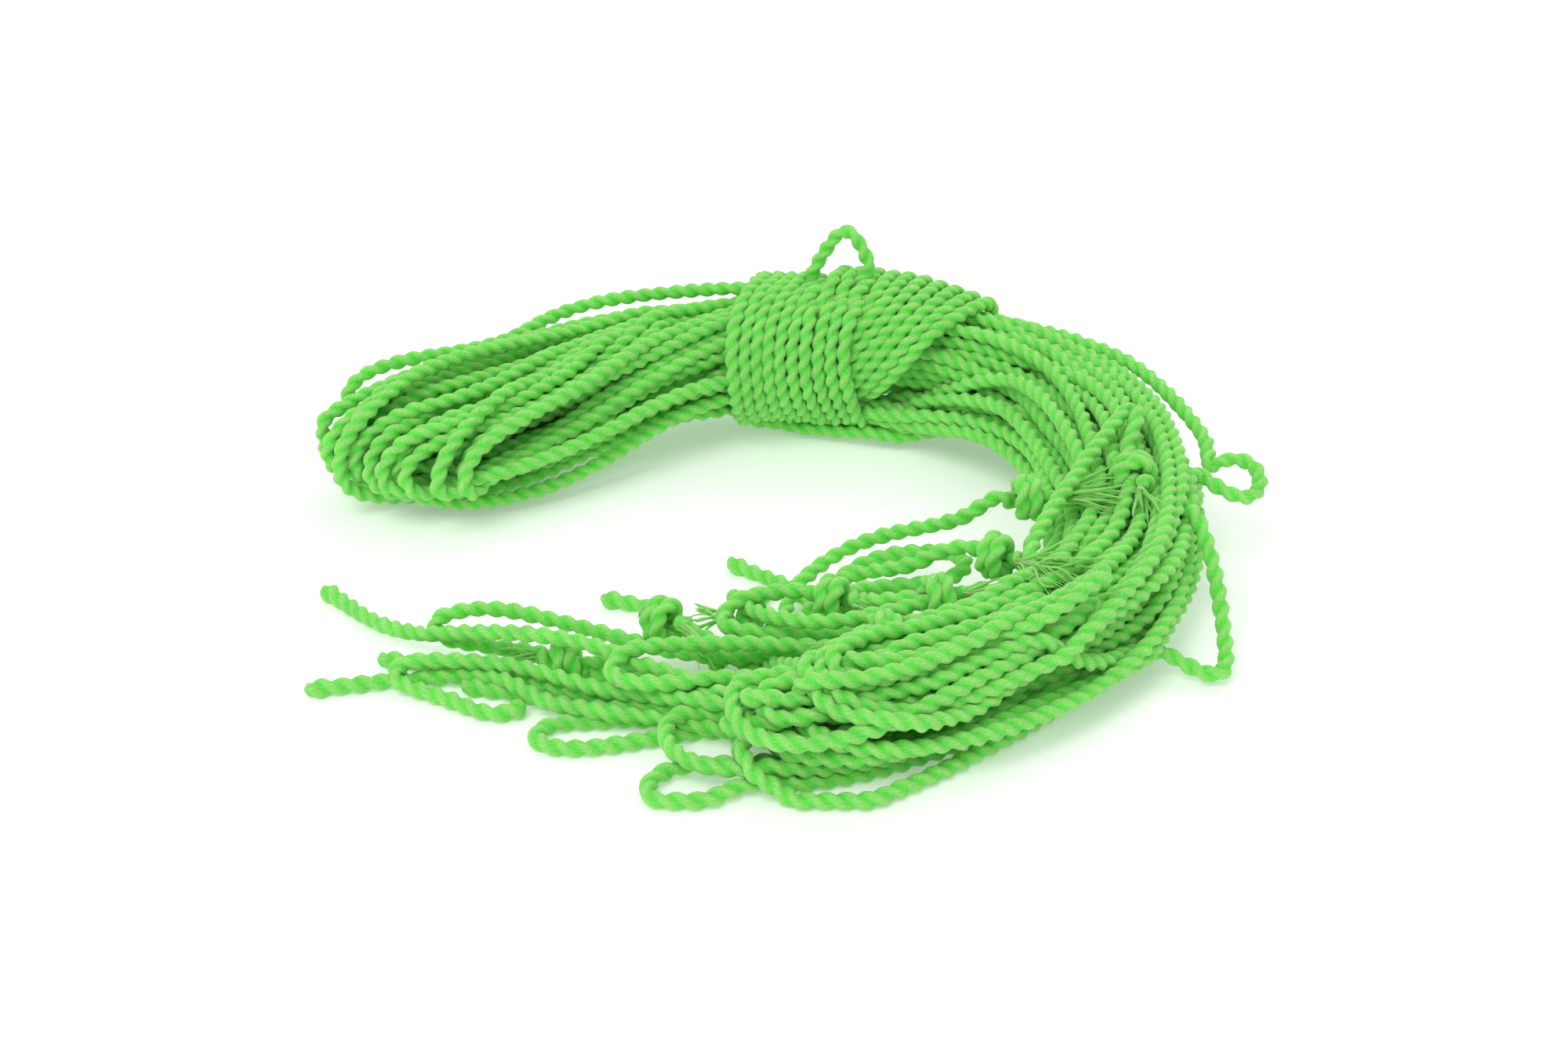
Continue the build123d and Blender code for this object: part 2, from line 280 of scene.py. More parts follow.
def left_turn(slot):
    """A strand's bend at the left end, from the upper side to the lower one."""
    fan, nest = slot
    outward, upward = slot_offsets(0.0, fan, nest)
    _, upward_low = slot_offsets(0.0, fan, -nest)
    # the outer strands reach further
    reach = LEFT_REACH - 2.6 * fan + 4.0 * (nest - 0.5) + rng.uniform(-LEFT_STRAY, LEFT_STRAY)
    radius = max((upward - upward_low) / 2, LEAST_BEND)
    level = (upward + upward_low) / 2
    sway = rng.uniform(-1.5, 1.5)
    points = []
    for angle, sink in zip(BEND_ANGLES, (0.2, 1.0, 0.6)):
        away = reach - radius + BEND_BULGE * radius * sin(radians(angle)) + sink
        height = level + BEND_BULGE * radius * cos(radians(angle)) - sink
        points.append(section_point(0.0, outward + sway * sink, height, -away))
    return points


def front_turn(slot, next_slot):
    """A strand's bend at the front end, from the inner side to the outer one."""
    inner, level = slot_offsets(1.0, slot[0], -slot[1])
    outer, next_level = slot_offsets(1.0, next_slot[0], next_slot[1])
    reach = FRONT_REACH - 3.0 * slot[0] + rng.uniform(-FRONT_STRAY, FRONT_STRAY)
    radius = max((outer - inner) / 2, LEAST_BEND)
    centre = (outer + inner) / 2
    points = []
    for angle, height in zip(BEND_ANGLES, (level, (level + next_level) / 2, next_level)):
        away = reach - radius + BEND_BULGE * radius * sin(radians(angle))
        outward = centre - BEND_BULGE * radius * cos(radians(angle))
        points.append(section_point(1.0, outward, height, away))
    return points


# ---- the tie: two turns of all ten strings ---------------------------------------------
# angle round the section (0 outer side, 90 top, 180 inner side, 270 bottom), place of the
# ten strings' middle along the hank from the tie's middle, half their spread, layer
TIE_PATH = np.array((
    (-70.0, 8.0, 4.6, 0.0),
    (-20.0, 7.0, 5.4, 0.0),
    (40.0, 7.0, 6.0, 0.2),
    (90.0, 7.2, 6.3, 0.8),
    (140.0, 4.0, 6.0, 0.5),
    (190.0, -0.6, 5.8, 0.0),
    (240.0, -3.4, 5.8, 0.2),
    (290.0, -4.2, 5.8, 0.2),
    (340.0, -3.6, 5.6, 0.0),
    (390.0, -1.6, 5.4, 0.0),
    (440.0, -0.4, 5.2, 0.05),
    (490.0, -4.0, 5.8, 0.8),
    (540.0, -5.0, 6.2, 0.9),
    (590.0, -3.2, 6.4, 1.3),
    (640.0, -0.6, 5.8, 1.1),
))
TIE_SHARE = 0.325
TIE_ANGLES = range(-70, 650, 30)
TIE_SLACK = 0.1             # between the hank and the tie's inner layer
TIE_BULGE = 1.04            # the tie's control points stand outside its line by this


def tie_points(position):
    """One string's two turns round the hank; position runs from -1 to 1 across the ten."""
    points = []
    for angle in TIE_ANGLES:
        along, spread, layer = (
            np.interp(angle, TIE_PATH[:, 0], TIE_PATH[:, column]) for column in (1, 2, 3)
        )
        share = TIE_SHARE + (along + spread * position) / travelled(middle_line)[-1]
        half_width, half_height = (
            np.interp(share, SECTIONS[:, 0], SECTIONS[:, column]) for column in (1, 2)
        )
        # the first turn's right edge lies close to the hank
        tuck = max(position, 0.0) if angle < 120 else 0.0
        grow = STRING_RADIUS + TIE_SLACK + (layer - tuck) * STRING_DIAMETER
        points.append(section_point(share, (half_width + grow) * TIE_BULGE * cos(radians(angle)),
                                    (half_height + grow) * TIE_BULGE * sin(radians(angle))))
    return points


# ---- stray strands ---------------------------------------------------------------------
STANDING_LOOP = ((2.0, 28.2, 13.2), (2.9, 28.4, 15.6), (4.2, 28.2, 17.6), (5.1, 28.0, 19.2),
                 (6.1, 27.8, 18.8), (7.4, 27.6, 16.4), (8.2, 27.4, 13.6))
LIFTED_LEFT = ((-1.0, 30.0, 12.2), (-3.6, 30.2, 12.4), (-7.0, 31.2, 11.8), (-12.4, 31.4, 11.2),
               (-17.4, 31.2, 10.6), (-21.9, 29.0, 9.8), (-25.0, 24.8, 9.2), (-29.4, 22.6, 9.4),
               (-34.0, 21.4, 9.2), (-38.2, 20.4, 8.0), (-39.4, 20.0, 4.6))
LIFTED_RIGHT = ((26.6, 22.2, 10.6), (30.4, 18.2, 10.4), (32.8, 13.8, 9.6), (34.2, 10.0, 9.0),
                (35.4, 6.6, 8.2))
RING_LOOP = ((34.2, 3.4, 7.4), (36.2, 5.4, 7.8), (38.5, 5.3, 7.7), (39.2, 3.2, 6.9), (38.1, 1.0, 6.0),
             (35.6, 1.0, 6.8), (32.6, 3.6, 8.4))
HANGING_LOOP = ((30.4, -4.2, 8.8), (32.6, -5.2, 8.0), (33.4, -9.4, 5.2), (33.6, -14.4, 1.8),
                (33.3, -17.6, 0.7), (30.4, -16.2, 1.2), (28.0, -14.4, 2.4))

# bends of chosen strings at the front end, from the inner side to the outer one
FRONT_LOOPS = {
    (0, 0): ((14.0, -18.0, 0.8), (3.0, -24.0, 0.8), (-4.0, -22.7, 1.0), (-9.4, -22.4, 1.0),
             (-13.4, -22.8, 0.9), (-16.4, -22.8, 0.7), (-18.3, -23.9, 0.7), (-18.0, -25.6, 0.7),
             (-16.0, -26.3, 0.7), (-13.2, -26.1, 0.7), (-9.3, -24.9, 0.7), (-6.5, -23.9, 0.7),
             (-2.0, -24.0, 0.8), (2.0, -26.0, 0.8)),
    (0, 1): ((4.0, -26.6, 1.6), (-0.6, -28.8, 1.2), (-4.6, -28.4, 1.0), (-7.9, -28.5, 0.8),
             (-9.7, -30.2, 0.7), (-9.6, -32.2, 0.7), (-8.0, -33.4, 0.7), (-6.0, -33.0, 0.7),
             (-4.4, -32.0, 0.7), (-2.8, -30.4, 1.0), (3.0, -29.6, 1.2), (9.0, -27.2, 0.8)),
    (1, 0): ((6.0, -23.0, 2.6), (0.0, -23.4, 2.6), (-3.8, -24.3, 2.4), (-6.7, -23.6, 2.2),
             (-8.6, -24.6, 2.0), (-8.6, -27.2, 2.0), (-7.2, -29.5, 2.0), (-5.0, -30.5, 2.0),
             (-2.6, -30.5, 1.8), (0.6, -30.0, 1.5), (4.0, -30.0, 1.4), (10.0, -27.6, 1.4)),
    (1, 1): ((16.0, -23.4, 2.4), (8.0, -24.6, 2.8), (1.6, -24.4, 3.4), (-2.6, -25.0, 3.6),
             (-3.3, -27.6, 3.2), (-3.1, -30.2, 2.6), (-2.0, -31.6, 1.8), (-0.4, -31.6, 1.1),
             (0.6, -32.4, 0.7), (1.8, -34.0, 0.7), (3.6, -34.2, 0.7), (5.6, -32.9, 0.7),
             (8.2, -31.1, 0.7), (11.0, -29.2, 0.7), (17.2, -24.0, 0.7), (22.4, -19.4, 1.2)),
    (4, 1): ((11.0, -23.2, 7.2), (5.0, -25.2, 6.8), (0.5, -25.4, 6.2), (-3.2, -26.8, 5.2),
             (-3.3, -27.9, 2.6), (-2.4, -29.6, 0.8), (0.6, -30.6, 0.7), (5.5, -29.4, 0.7),
             (11.2, -26.5, 0.8), (17.1, -23.2, 1.2)),
    (7, 1): ((20.0, -16.0, 8.4), (13.4, -22.4, 7.6), (7.8, -25.6, 6.8), (3.3, -25.6, 6.2),
             (-1.3, -24.4, 6.0), (-3.6, -26.0, 5.6), (-3.8, -28.8, 5.2), (-2.0, -30.9, 4.6),
             (1.2, -31.7, 4.6), (4.4, -31.3, 5.0), (8.8, -29.6, 5.8), (14.2, -26.0, 6.8),
             (18.8, -22.4, 7.4), (24.0, -17.0, 8.2)),
    (6, 1): ((7.7, -27.2, 7.0), (4.3, -26.2, 6.4), (0.4, -25.6, 6.2), (-1.7, -26.4, 5.8),
             (-1.6, -28.8, 5.4), (0.1, -29.8, 5.2), (3.3, -28.6, 5.8), (7.8, -27.6, 6.6),
             (12.2, -26.2, 7.2), (18.8, -22.0, 8.0)),
    (3, 0): ((-4.6, -17.0, 2.2), (-12.6, -13.6, 2.2), (-17.9, -12.4, 3.2), (-22.8, -11.4, 3.8),
             (-26.6, -11.6, 3.0), (-27.6, -12.6, 2.2), (-24.6, -13.6, 1.6), (-19.4, -14.2, 1.6),
             (-12.0, -18.2, 1.6), (-4.0, -23.0, 2.4)),
    (2, 0): ((2.0, -18.0, 4.2), (-3.0, -18.2, 4.6), (-6.9, -18.6, 4.8), (-10.2, -18.8, 4.8),
             (-12.9, -20.4, 4.5), (-12.6, -22.8, 4.2), (-8.6, -22.9, 4.0), (-4.4, -21.8, 3.8),
             (0.0, -21.5, 3.8)),
}
STANDING_STRING = 5
STANDING_ANGLE = 395        # where the standing loop leaves the tie, in degrees round it
LIFTED_STRING = 8
RING_STRING = 7
HANGING_STRING = 6


KNOT_STEPS = 16             # control points round a knot's turns, less one
KNOT_STEP_ANGLE = 47.0


def knot_points(middle, heading):
    """An overhand knot: straight in, a little over two turns round itself, and straight out.

    The points are worked out in string diameters, along a knot that heads to +x.
    """
    local = [(-2.9, 0.0, 0.0), (-2.0, 0.0, 0.0), (-1.3, 0.15, -0.1)]
    for step in range(KNOT_STEPS + 1):
        angle = radians(-60.0 + KNOT_STEP_ANGLE * step)
        reach = 0.98 + 0.1 * sin(pi * step / KNOT_STEPS)
        along = -0.8 + 0.095 * step + 0.1 * sin(angle)
        local.append((along, reach * cos(angle), reach * sin(angle)))
    local += [(1.15, 0.35, 0.2), (1.6, 0.0, 0.0)]
    turn = radians(heading)
    placed = []
    for x, y, z in local:
        x, y, z = (STRING_DIAMETER * value for value in (x, y, z))
        placed.append((
            middle[0] + x * cos(turn) - y * sin(turn),
            middle[1] + x * sin(turn) + y * cos(turn),
            middle[2] + z,
        ))
    return placed


def string_route(index, laps):
    """All control points of one string, with how firmly each of them is held."""
    points, holds = [], []

    def add(places, hold):
        points.extend(places)
        holds.extend([hold] * len(places))

    add(LOOP_ENDS[index][::-1], END_HOLD)
    for lap in range(LAPS):
        slot = laps[lap][index]
        start = LOOP_SHARE if lap and (index, lap - 1) in FRONT_LOOPS else FRONT_SHARE
        last_lap = lap == LAPS - 1
        if last_lap and index == LIFTED_STRING:
            add(run(slot, True, start, 0.4), LOOSE)
            add(LIFTED_LEFT, STRAY_HOLD)
        else:
            if last_lap and index == RING_STRING:
                add(run(slot, True, start, 0.65), LOOSE)
                add(RING_LOOP[::-1], STRAY_HOLD)
                add(LIFTED_RIGHT[::-1], STRAY_HOLD)
                start = 0.45
            elif last_lap and index == HANGING_STRING:
                add(run(slot, True, start, 0.83), LOOSE)
                add(HANGING_LOOP[::-1], STRAY_HOLD)
                start = 0.65
            add(run(slot, True, start, LEFT_SHARE), LOOSE)
            add(left_turn(slot), LEFT_BEND_HOLD)
        if not last_lap:
            looped = (index, lap) in FRONT_LOOPS
            add(run(slot, False, LEFT_SHARE, LOOP_SHARE if looped else FRONT_SHARE), LOOSE)
            if looped:
                add(FRONT_LOOPS[index, lap], LOOP_HOLD)
            else:
                add(front_turn(slot, laps[lap + 1][index]), FRONT_BEND_HOLD)
    slot = laps[LAPS - 1][index]
    add(run(slot, False, LEFT_SHARE, 0.2), LOOSE)
    tie = tie_points((index - (STRINGS - 1) / 2) / ((STRINGS - 1) / 2))
    if index == STANDING_STRING:
        before = next(step for step, angle in enumerate(TIE_ANGLES) if angle > STANDING_ANGLE)
        add(tie[:before], STRAY_HOLD)
        add(STANDING_LOOP, LOOP_HOLD)
        add(tie[before + 2:], STRAY_HOLD)
    else:
        add(tie, STRAY_HOLD)
    add(run(slot, False, 0.48, 0.9), LOOSE)
    add(KNOT_TAILS[index], TAIL_HOLD)
    return points, holds


# ---- settling --------------------------------------------------------------------------
CONTACT = 1.13              # least distance between two strings' middles
SEARCH = 2.0                # pairs nearer than this are watched
CELLS = 128                 # cells of that size along each side of the grid they are sorted in
ROUNDS = 420
STRAIGHTEN = 0.12           # share of a node's way to the middle of its neighbours, each round
SINK = 0.003                # how far a loose node drops in a round
PUSH = 1.3                  # how hard two strings that touch are parted
FADE_FROM = 0.8             # share of the rounds after which the holds let go
FADED = 0.25                # what is left of a hold then
FLOOR = STRING_RADIUS + 0.02         # least height of a string's middle
# the CAD model's box in the drawing's coordinates, less a small margin
BOX_LOW = np.array([-40.3, -33.2, 0.0]) + STRING_RADIUS
BOX_HIGH = np.array([39.9, 36.3, 20.6]) - STRING_RADIUS


def near_pairs(places, string_of, order_in):
    """Pairs of nodes nearer than SEARCH, without near neighbours on the same string."""
    cells = np.floor(places / SEARCH).astype(np.int64) + CELLS // 2
    keys = (cells[:, 0] * CELLS + cells[:, 1]) * CELLS + cells[:, 2]
    order = np.argsort(keys, kind="stable")
    sorted_keys = keys[order]
    firsts, seconds = [], []
    # half of the neighbouring cells, so that each pair of cells comes up once
    nearby = [(x, y, z) for x in (-1, 0, 1) for y in (-1, 0, 1) for z in (-1, 0, 1)]
    for step in nearby[len(nearby) // 2:]:
        shift = (step[0] * CELLS + step[1]) * CELLS + step[2]
        low = np.searchsorted(sorted_keys, keys + shift, side="left")
        high = np.searchsorted(sorted_keys, keys + shift, side="right")
        counts = high - low
        first = np.repeat(np.arange(len(places)), counts)
        offsets = np.arange(len(first)) - np.repeat(np.cumsum(counts) - counts, counts)
        second = order[np.repeat(low, counts) + offsets]
        if step == (0, 0, 0):
            keep = first < second
            first, second = first[keep], second[keep]
        gap = places[first] - places[second]
        close = (gap * gap).sum(1) < SEARCH * SEARCH
        along = np.abs(order_in[first] - order_in[second])
        apart = (string_of[first] != string_of[second]) | (along > 3)
        keep = close & apart
        firsts.append(first[keep])
        seconds.append(second[keep])
    return np.concatenate(firsts), np.concatenate(seconds)


def settle(lines, holds):
    """Lets the strings push each other apart and sink, with their lengths kept."""
    places = np.concatenate(lines)
    anchors = places.copy()
    hold = np.concatenate(holds)[:, None]
    string_of = np.concatenate([np.full(len(line), index) for index, line in enumerate(lines)])
    order_in = np.concatenate([np.arange(len(line)) for line in lines])
    count = len(places)
    links = np.nonzero(string_of[:-1] == string_of[1:])[0]
    rest = np.linalg.norm(places[links + 1] - places[links], axis=1)
    inner = np.nonzero((string_of[:-2] == string_of[2:]))[0] + 1
    halves = [links[order_in[links] % 2 == parity] for parity in (0, 1)]
    half_rests = [rest[order_in[links] % 2 == parity] for parity in (0, 1)]
    for turn in range(ROUNDS):
        if turn % 6 == 0:
            first, second = near_pairs(places, string_of, order_in)
        fade = 1.0 if turn < ROUNDS * FADE_FROM else FADED
        places += np.where(hold < HELD, fade, 1.0) * hold * (anchors - places)
        places[:, 2] -= SINK * (hold[:, 0] < 0.1)
        middle = (places[inner - 1] + places[inner + 1]) / 2
        places[inner] += STRAIGHTEN * (hold[inner] < HELD) * (middle - places[inner])
        for half, half_rest in zip(halves, half_rests):
            gap = places[half + 1] - places[half]
            long = np.linalg.norm(gap, axis=1)
            push = (0.5 * (long - half_rest) / np.maximum(long, 1e-6))[:, None] * gap
            places[half] += push
            places[half + 1] -= push
        gap = places[first] - places[second]
        far = np.sqrt((gap * gap).sum(1))
        touching = far < CONTACT
        a, b = first[touching], second[touching]
        overlap = CONTACT - far[touching]
        push = gap[touching] * (overlap / np.maximum(far[touching], 1e-4) * 0.5)[:, None]
        shares = np.bincount(a, minlength=count) + np.bincount(b, minlength=count)
        moved = np.stack([
            np.bincount(a, push[:, axis], count) - np.bincount(b, push[:, axis], count)
            for axis in range(3)
        ], axis=1)
        places += PUSH * moved / np.maximum(shares, 1.0)[:, None]
        places = np.clip(places, BOX_LOW, BOX_HIGH)
        places[:, 2] = np.maximum(places[:, 2], FLOOR)
        places = np.where(hold < HELD, places, anchors)
    return np.split(places, np.cumsum([len(line) for line in lines])[:-1])


def laid_out():
    """Every string's line before it settles, with its nodes' holds; a knot's nodes stay put."""
    laps = lap_slots()
    lines, holds = [], []
    for index in range(STRINGS):
        points, firm = string_route(index, laps)
        knot = knot_points(*KNOTS[index][:2])
        line = spline_points([*points, *knot[:2]], 8)
        nodes = even_points(line, NODE_STEP)
        shares = np.linspace(0, 1, len(line))
        line_hold = np.interp(shares, np.linspace(0, 1, len(points) + 2), [*firm, 0.5, HELD])
        node_far, line_far = travelled(nodes), travelled(line)
        hold = np.interp(node_far / node_far[-1], line_far / line_far[-1], line_hold)
        knot_nodes = even_points(spline_points(knot[1:], 8), NODE_STEP)
        lines.append(np.concatenate([nodes, knot_nodes[1:]]))
        holds.append(np.concatenate([hold, np.full(len(knot_nodes) - 1, HELD)]))
    return lines, holds


def with_knot(index, nodes, hold):
    """A settled string's control points, with the knot's own ones at its end."""
    last_loose = np.nonzero(hold < 0.99 * HELD)[0][-1]
    return np.concatenate([nodes[:last_loose], knot_points(*KNOTS[index][:2])[1:]])


# ---- skins -----------------------------------------------------------------------------
def frames_along(line):
    """Tangents, and a pair of normals that don't twist, at each point of a line."""
    tangent = np.gradient(line, axis=0)
    tangent /= np.linalg.norm(tangent, axis=1)[:, None]
    normal = np.empty_like(line)
    helper = np.array([0.0, 0.0, 1.0]) if abs(tangent[0, 2]) < 0.9 else np.array([1.0, 0.0, 0.0])
    normal[0] = np.cross(tangent[0], np.cross(helper, tangent[0]))
    normal[0] /= np.linalg.norm(normal[0])
    for i in range(1, len(line)):
        carried = normal[i - 1] - tangent[i] * (normal[i - 1] @ tangent[i])
        normal[i] = carried / np.linalg.norm(carried)
    return tangent, normal, np.cross(tangent, normal)


def ply_outline(count):
    """The section of two plies side by side, as unit-free (x, y) places, all the way round."""
    waist = np.arccos(-PLY_OFFSET / PLY_RADIUS)
    half = count // 2
    angles = np.linspace(-waist, waist, half + 1)[:-1] + waist / half
    lobe = np.stack([PLY_OFFSET + PLY_RADIUS * np.cos(angles), PLY_RADIUS * np.sin(angles)], axis=1)
    return np.concatenate([lobe, -lobe])


def new_object(name, vertices, faces, material):
    """A smooth mesh object in metres from drawing millimetres."""
    mesh = bpy.data.meshes.new(name)
    placed = (vertices - DRAWING_CENTRE) * MM
    mesh.vertices.add(len(placed))
    mesh.vertices.foreach_set("co", placed.astype(np.float32).ravel())
    sizes = np.array([len(face) for face in faces], dtype=np.int32)
    corners = np.concatenate([np.asarray(face) for face in faces])
    mesh.loops.add(len(corners))
    mesh.loops.foreach_set("vertex_index", corners.astype(np.int32))
    mesh.polygons.add(len(sizes))
    mesh.polygons.foreach_set("loop_start", (np.cumsum(sizes) - sizes).astype(np.int32))
    mesh.update(calc_edges=True)
    mesh.validate()
    mesh.polygons.foreach_set("use_smooth", np.full(len(mesh.polygons), True))
    mesh.materials.append(material)
    piece = bpy.data.objects.new(name, mesh)
    bpy.context.scene.collection.objects.link(piece)
    return piece


def tube_quads(rings, sides):
    """The faces between the rings of a tube, ring by ring."""
    ring = np.arange(rings - 1)[:, None] * sides
    side = np.arange(sides)[None, :]
    next_side = (side + 1) % sides
    corners = (ring + side, ring + next_side, ring + sides + next_side, ring + sides + side)
    return np.stack(corners, axis=-1).reshape(-1, 4)


def end_caps(rings, sides):
    """Fans that close a tube's ends, round the two vertices that follow its rings."""
    start, end, last = rings * sides, rings * sides + 1, (rings - 1) * sides
    caps = [[start, (side + 1) % sides, side] for side in range(sides)]
    caps += [[end, last + side, last + (side + 1) % sides] for side in range(sides)]
    return caps


def skin_size(far):
    """How wide a string is along it: a little uneven, rounded at its ends."""
    from_end = np.minimum(far, far[-1] - far)
    rounding = np.sqrt(np.clip(1 - (1 - np.clip(from_end / STRING_RADIUS, 0.02, 1)) ** 2, 0.02, 1))
    slow_wobble = 0.035 * np.sin(far * 0.9 + rng.uniform(0, 6))
    quick_wobble = 0.02 * np.sin(far * 2.3 + rng.uniform(0, 6))
    wobble = 1.0 + slow_wobble + quick_wobble
    # the loop end is thicker than the rest
    bulb = 1.0 + 0.2 * np.exp(-((far - 1.0) / 0.9) ** 2)
    return rounding * wobble * bulb


def string_skin(name, line, material):
    """The two-ply skin of one string: a closed mesh."""
    _, normal, binormal = frames_along(line)
    far = travelled(line)
    size = skin_size(far)[:, None]
    twist = (2 * pi * far / TWIST_PITCH + 0.5 * np.sin(far * 0.11 + rng.uniform(0, 6)))[:, None]
    outline = ply_outline(RING_SIDES)
    x = outline[:, 0] * np.cos(twist) - outline[:, 1] * np.sin(twist)
    y = outline[:, 0] * np.sin(twist) + outline[:, 1] * np.cos(twist)
    rings = line[:, None, :] + (size * x)[..., None] * normal[:, None, :]
    rings += (size * y)[..., None] * binormal[:, None, :]
    vertices = np.concatenate([rings.reshape(-1, 3), line[:1], line[-1:]])
    quads = tube_quads(len(line), RING_SIDES)
    piece = new_object(name, vertices, [*quads, *end_caps(len(line), RING_SIDES)], material)
    reach = np.hypot(outline[:, 0], outline[:, 1])
    # 0 in the groove between the plies, 1 on their crests; the cotton paints shade into the groove by
    # this
    crest = (reach - reach.min()) / (reach.max() - reach.min())
    places = np.stack([x, y, np.broadcast_to(far[:, None], x.shape)], axis=-1).reshape(-1, 3)
    mark_fibres(piece, np.concatenate([places, [[0, 0, 0], [0, 0, far[-1]]]]),
                np.concatenate([np.tile(crest, len(line)), [1, 1]]))
    lay_out_strips(piece, len(line), len(quads))
    return piece


def mark_fibres(piece, places, crest):
    """Keeps each vertex's place across and along its string, and how far it is from the groove."""
    field = piece.data.attributes.new("fibre", "FLOAT_VECTOR", "POINT")
    field.data.foreach_set("vector", places.astype(np.float32).ravel())
    field = piece.data.attributes.new("crest", "FLOAT", "POINT")
    field.data.foreach_set("value", crest.astype(np.float32).ravel())


STRIPS = 16                 # lengths that the skin is cut into in its texture map
STRIP_GAP = 0.1             # left free between them, as a share of one
STRIP_MARGIN = 0.005        # left free at their ends, as a share of the map


def lay_out_strips(piece, rings, quads):
    """A texture map of the skin: lengths of it side by side."""
    per_strip = int(np.ceil((rings - 1) / STRIPS))
    ring = np.arange(rings - 1)
    strip, along = ring // per_strip, ring % per_strip
    corners = np.empty((rings - 1, RING_SIDES, 4, 2))
    side = np.arange(RING_SIDES)
    usable = (1 - STRIP_GAP) / STRIPS
    base = (strip / STRIPS + STRIP_GAP / STRIPS / 2)[:, None]
    for corner, (ring_step, side_step) in enumerate(((0, 0), (0, 1), (1, 1), (1, 0))):
        reach = (along + ring_step) / per_strip
        corners[:, :, corner, 0] = STRIP_MARGIN + (1 - 2 * STRIP_MARGIN) * reach[:, None]
        corners[:, :, corner, 1] = base + usable * ((side + side_step) / RING_SIDES)[None, :]
    layer = piece.data.uv_layers.new(name="OFBake")
    places = np.zeros((len(piece.data.loops), 2))
    places[:quads * 4] = corners.reshape(-1, 2)
    places[quads * 4:] = 0.001 * rng.random((len(places) - quads * 4, 2))
    layer.data.foreach_set("uv", places.astype(np.float32).ravel())


# ---- materials -------------------------------------------------------------------------
def map_range(nodes, start, end, new_start, new_end):
    """A node that carries one span of values over to another."""
    node = nodes.new("ShaderNodeMapRange")
    node.inputs["From Min"].default_value = start
    node.inputs["From Max"].default_value = end
    node.inputs["To Min"].default_value = new_start
    node.inputs["To Max"].default_value = new_end
    return node


def vertex_field(nodes, name):
    """A node that reads what mark_fibres keeps."""
    node = nodes.new("ShaderNodeAttribute")
    node.attribute_name = name
    return node


def noise(nodes, scale, detail):
    """A noise texture node."""
    node = nodes.new("ShaderNodeTexNoise")
    node.inputs["Scale"].default_value = scale
    node.inputs["Detail"].default_value = detail
    return node


COTTON = {
    "Roughness": 0.85,
    "Specular IOR Level": 0.25,
    "Sheen Weight": 0.35,
    "Sheen Roughness": 0.5,
    "Sheen Tint": (0.75, 1.0, 0.55, 1.0),
    "Subsurface Weight": 0.5,
    "Subsurface Radius": (0.35, 1.0, 0.25),
    "Subsurface Scale": 0.0008,
}


def cotton(name, groove, ridge, streak):
    """Spun cotton: fibres drawn along the string, with painted shade in the groove where the plies
    meet.
    """
    material = bpy.data.materials.new(name)
    material.use_nodes = True
    nodes, links = material.node_tree.nodes, material.node_tree.links
    shader = nodes["Principled BSDF"]
    for socket, value in COTTON.items():
        shader.inputs[socket].default_value = value

    fibre = vertex_field(nodes, "fibre")
    stretch = nodes.new("ShaderNodeMapping")
    stretch.inputs["Scale"].default_value = (9.0, 9.0, 0.8)
    fine = noise(nodes, 1.6, 5.0)
    fine.inputs["Roughness"].default_value = 0.65
    broad = noise(nodes, 0.35, 2.0)
    links.new(fibre.outputs["Vector"], stretch.inputs["Vector"])
    links.new(stretch.outputs["Vector"], fine.inputs["Vector"])
    links.new(fibre.outputs["Vector"], broad.inputs["Vector"])

    streaks = map_range(nodes, 0.3, 0.7, 1.0 - streak, 1.0 + streak)
    patches = map_range(nodes, 0.35, 0.65, 0.94, 1.06)
    links.new(fine.outputs["Fac"], streaks.inputs["Value"])
    links.new(broad.outputs["Fac"], patches.inputs["Value"])
    both = nodes.new("ShaderNodeMath")
    both.operation = "MULTIPLY"
    links.new(streaks.outputs["Result"], both.inputs[0])
    links.new(patches.outputs["Result"], both.inputs[1])

    # painted shade: by the crest field the colour goes from the ridge colour to a darker, more
    # saturated green in the groove between the plies
    groove_shade_mix = nodes.new("ShaderNodeMix")
    groove_shade_mix.data_type = "RGBA"
    # by number, because a Mix node's colour sockets share their names with others
    factor, from_colour, to_colour = (groove_shade_mix.inputs[index] for index in (0, 6, 7))
    colour = groove_shade_mix.outputs[2]
    from_colour.default_value = (*groove, 1.0)
    to_colour.default_value = (*ridge, 1.0)
    links.new(vertex_field(nodes, "crest").outputs["Fac"], factor)
    tinted = nodes.new("ShaderNodeVectorMath")
    tinted.operation = "SCALE"
    links.new(colour, tinted.inputs[0])
    links.new(both.outputs["Value"], tinted.inputs["Scale"])
    links.new(tinted.outputs["Vector"], shader.inputs["Base Color"])

    bump = nodes.new("ShaderNodeBump")
    bump.inputs["Strength"].default_value = 0.55
    bump.inputs["Distance"].default_value = 0.00012
    links.new(fine.outputs["Fac"], bump.inputs["Height"])
    links.new(bump.outputs["Normal"], shader.inputs["Normal"])
    return material


# The first green is painted shade: darker and more saturated, it stands for the shade in the groove
# between the plies.
GROOVE_SHADE_GREEN = (0.15, 0.80, 0.09)
FRESH_GREEN = (0.335, 0.84, 0.19)
FRAYED_GREEN = (0.36, 0.90, 0.21)
string_cotton = cotton("string_cotton", GROOVE_SHADE_GREEN, FRESH_GREEN, streak=0.28)
fray_cotton = cotton("fray_cotton", GROOVE_SHADE_GREEN, FRAYED_GREEN, streak=0.12)


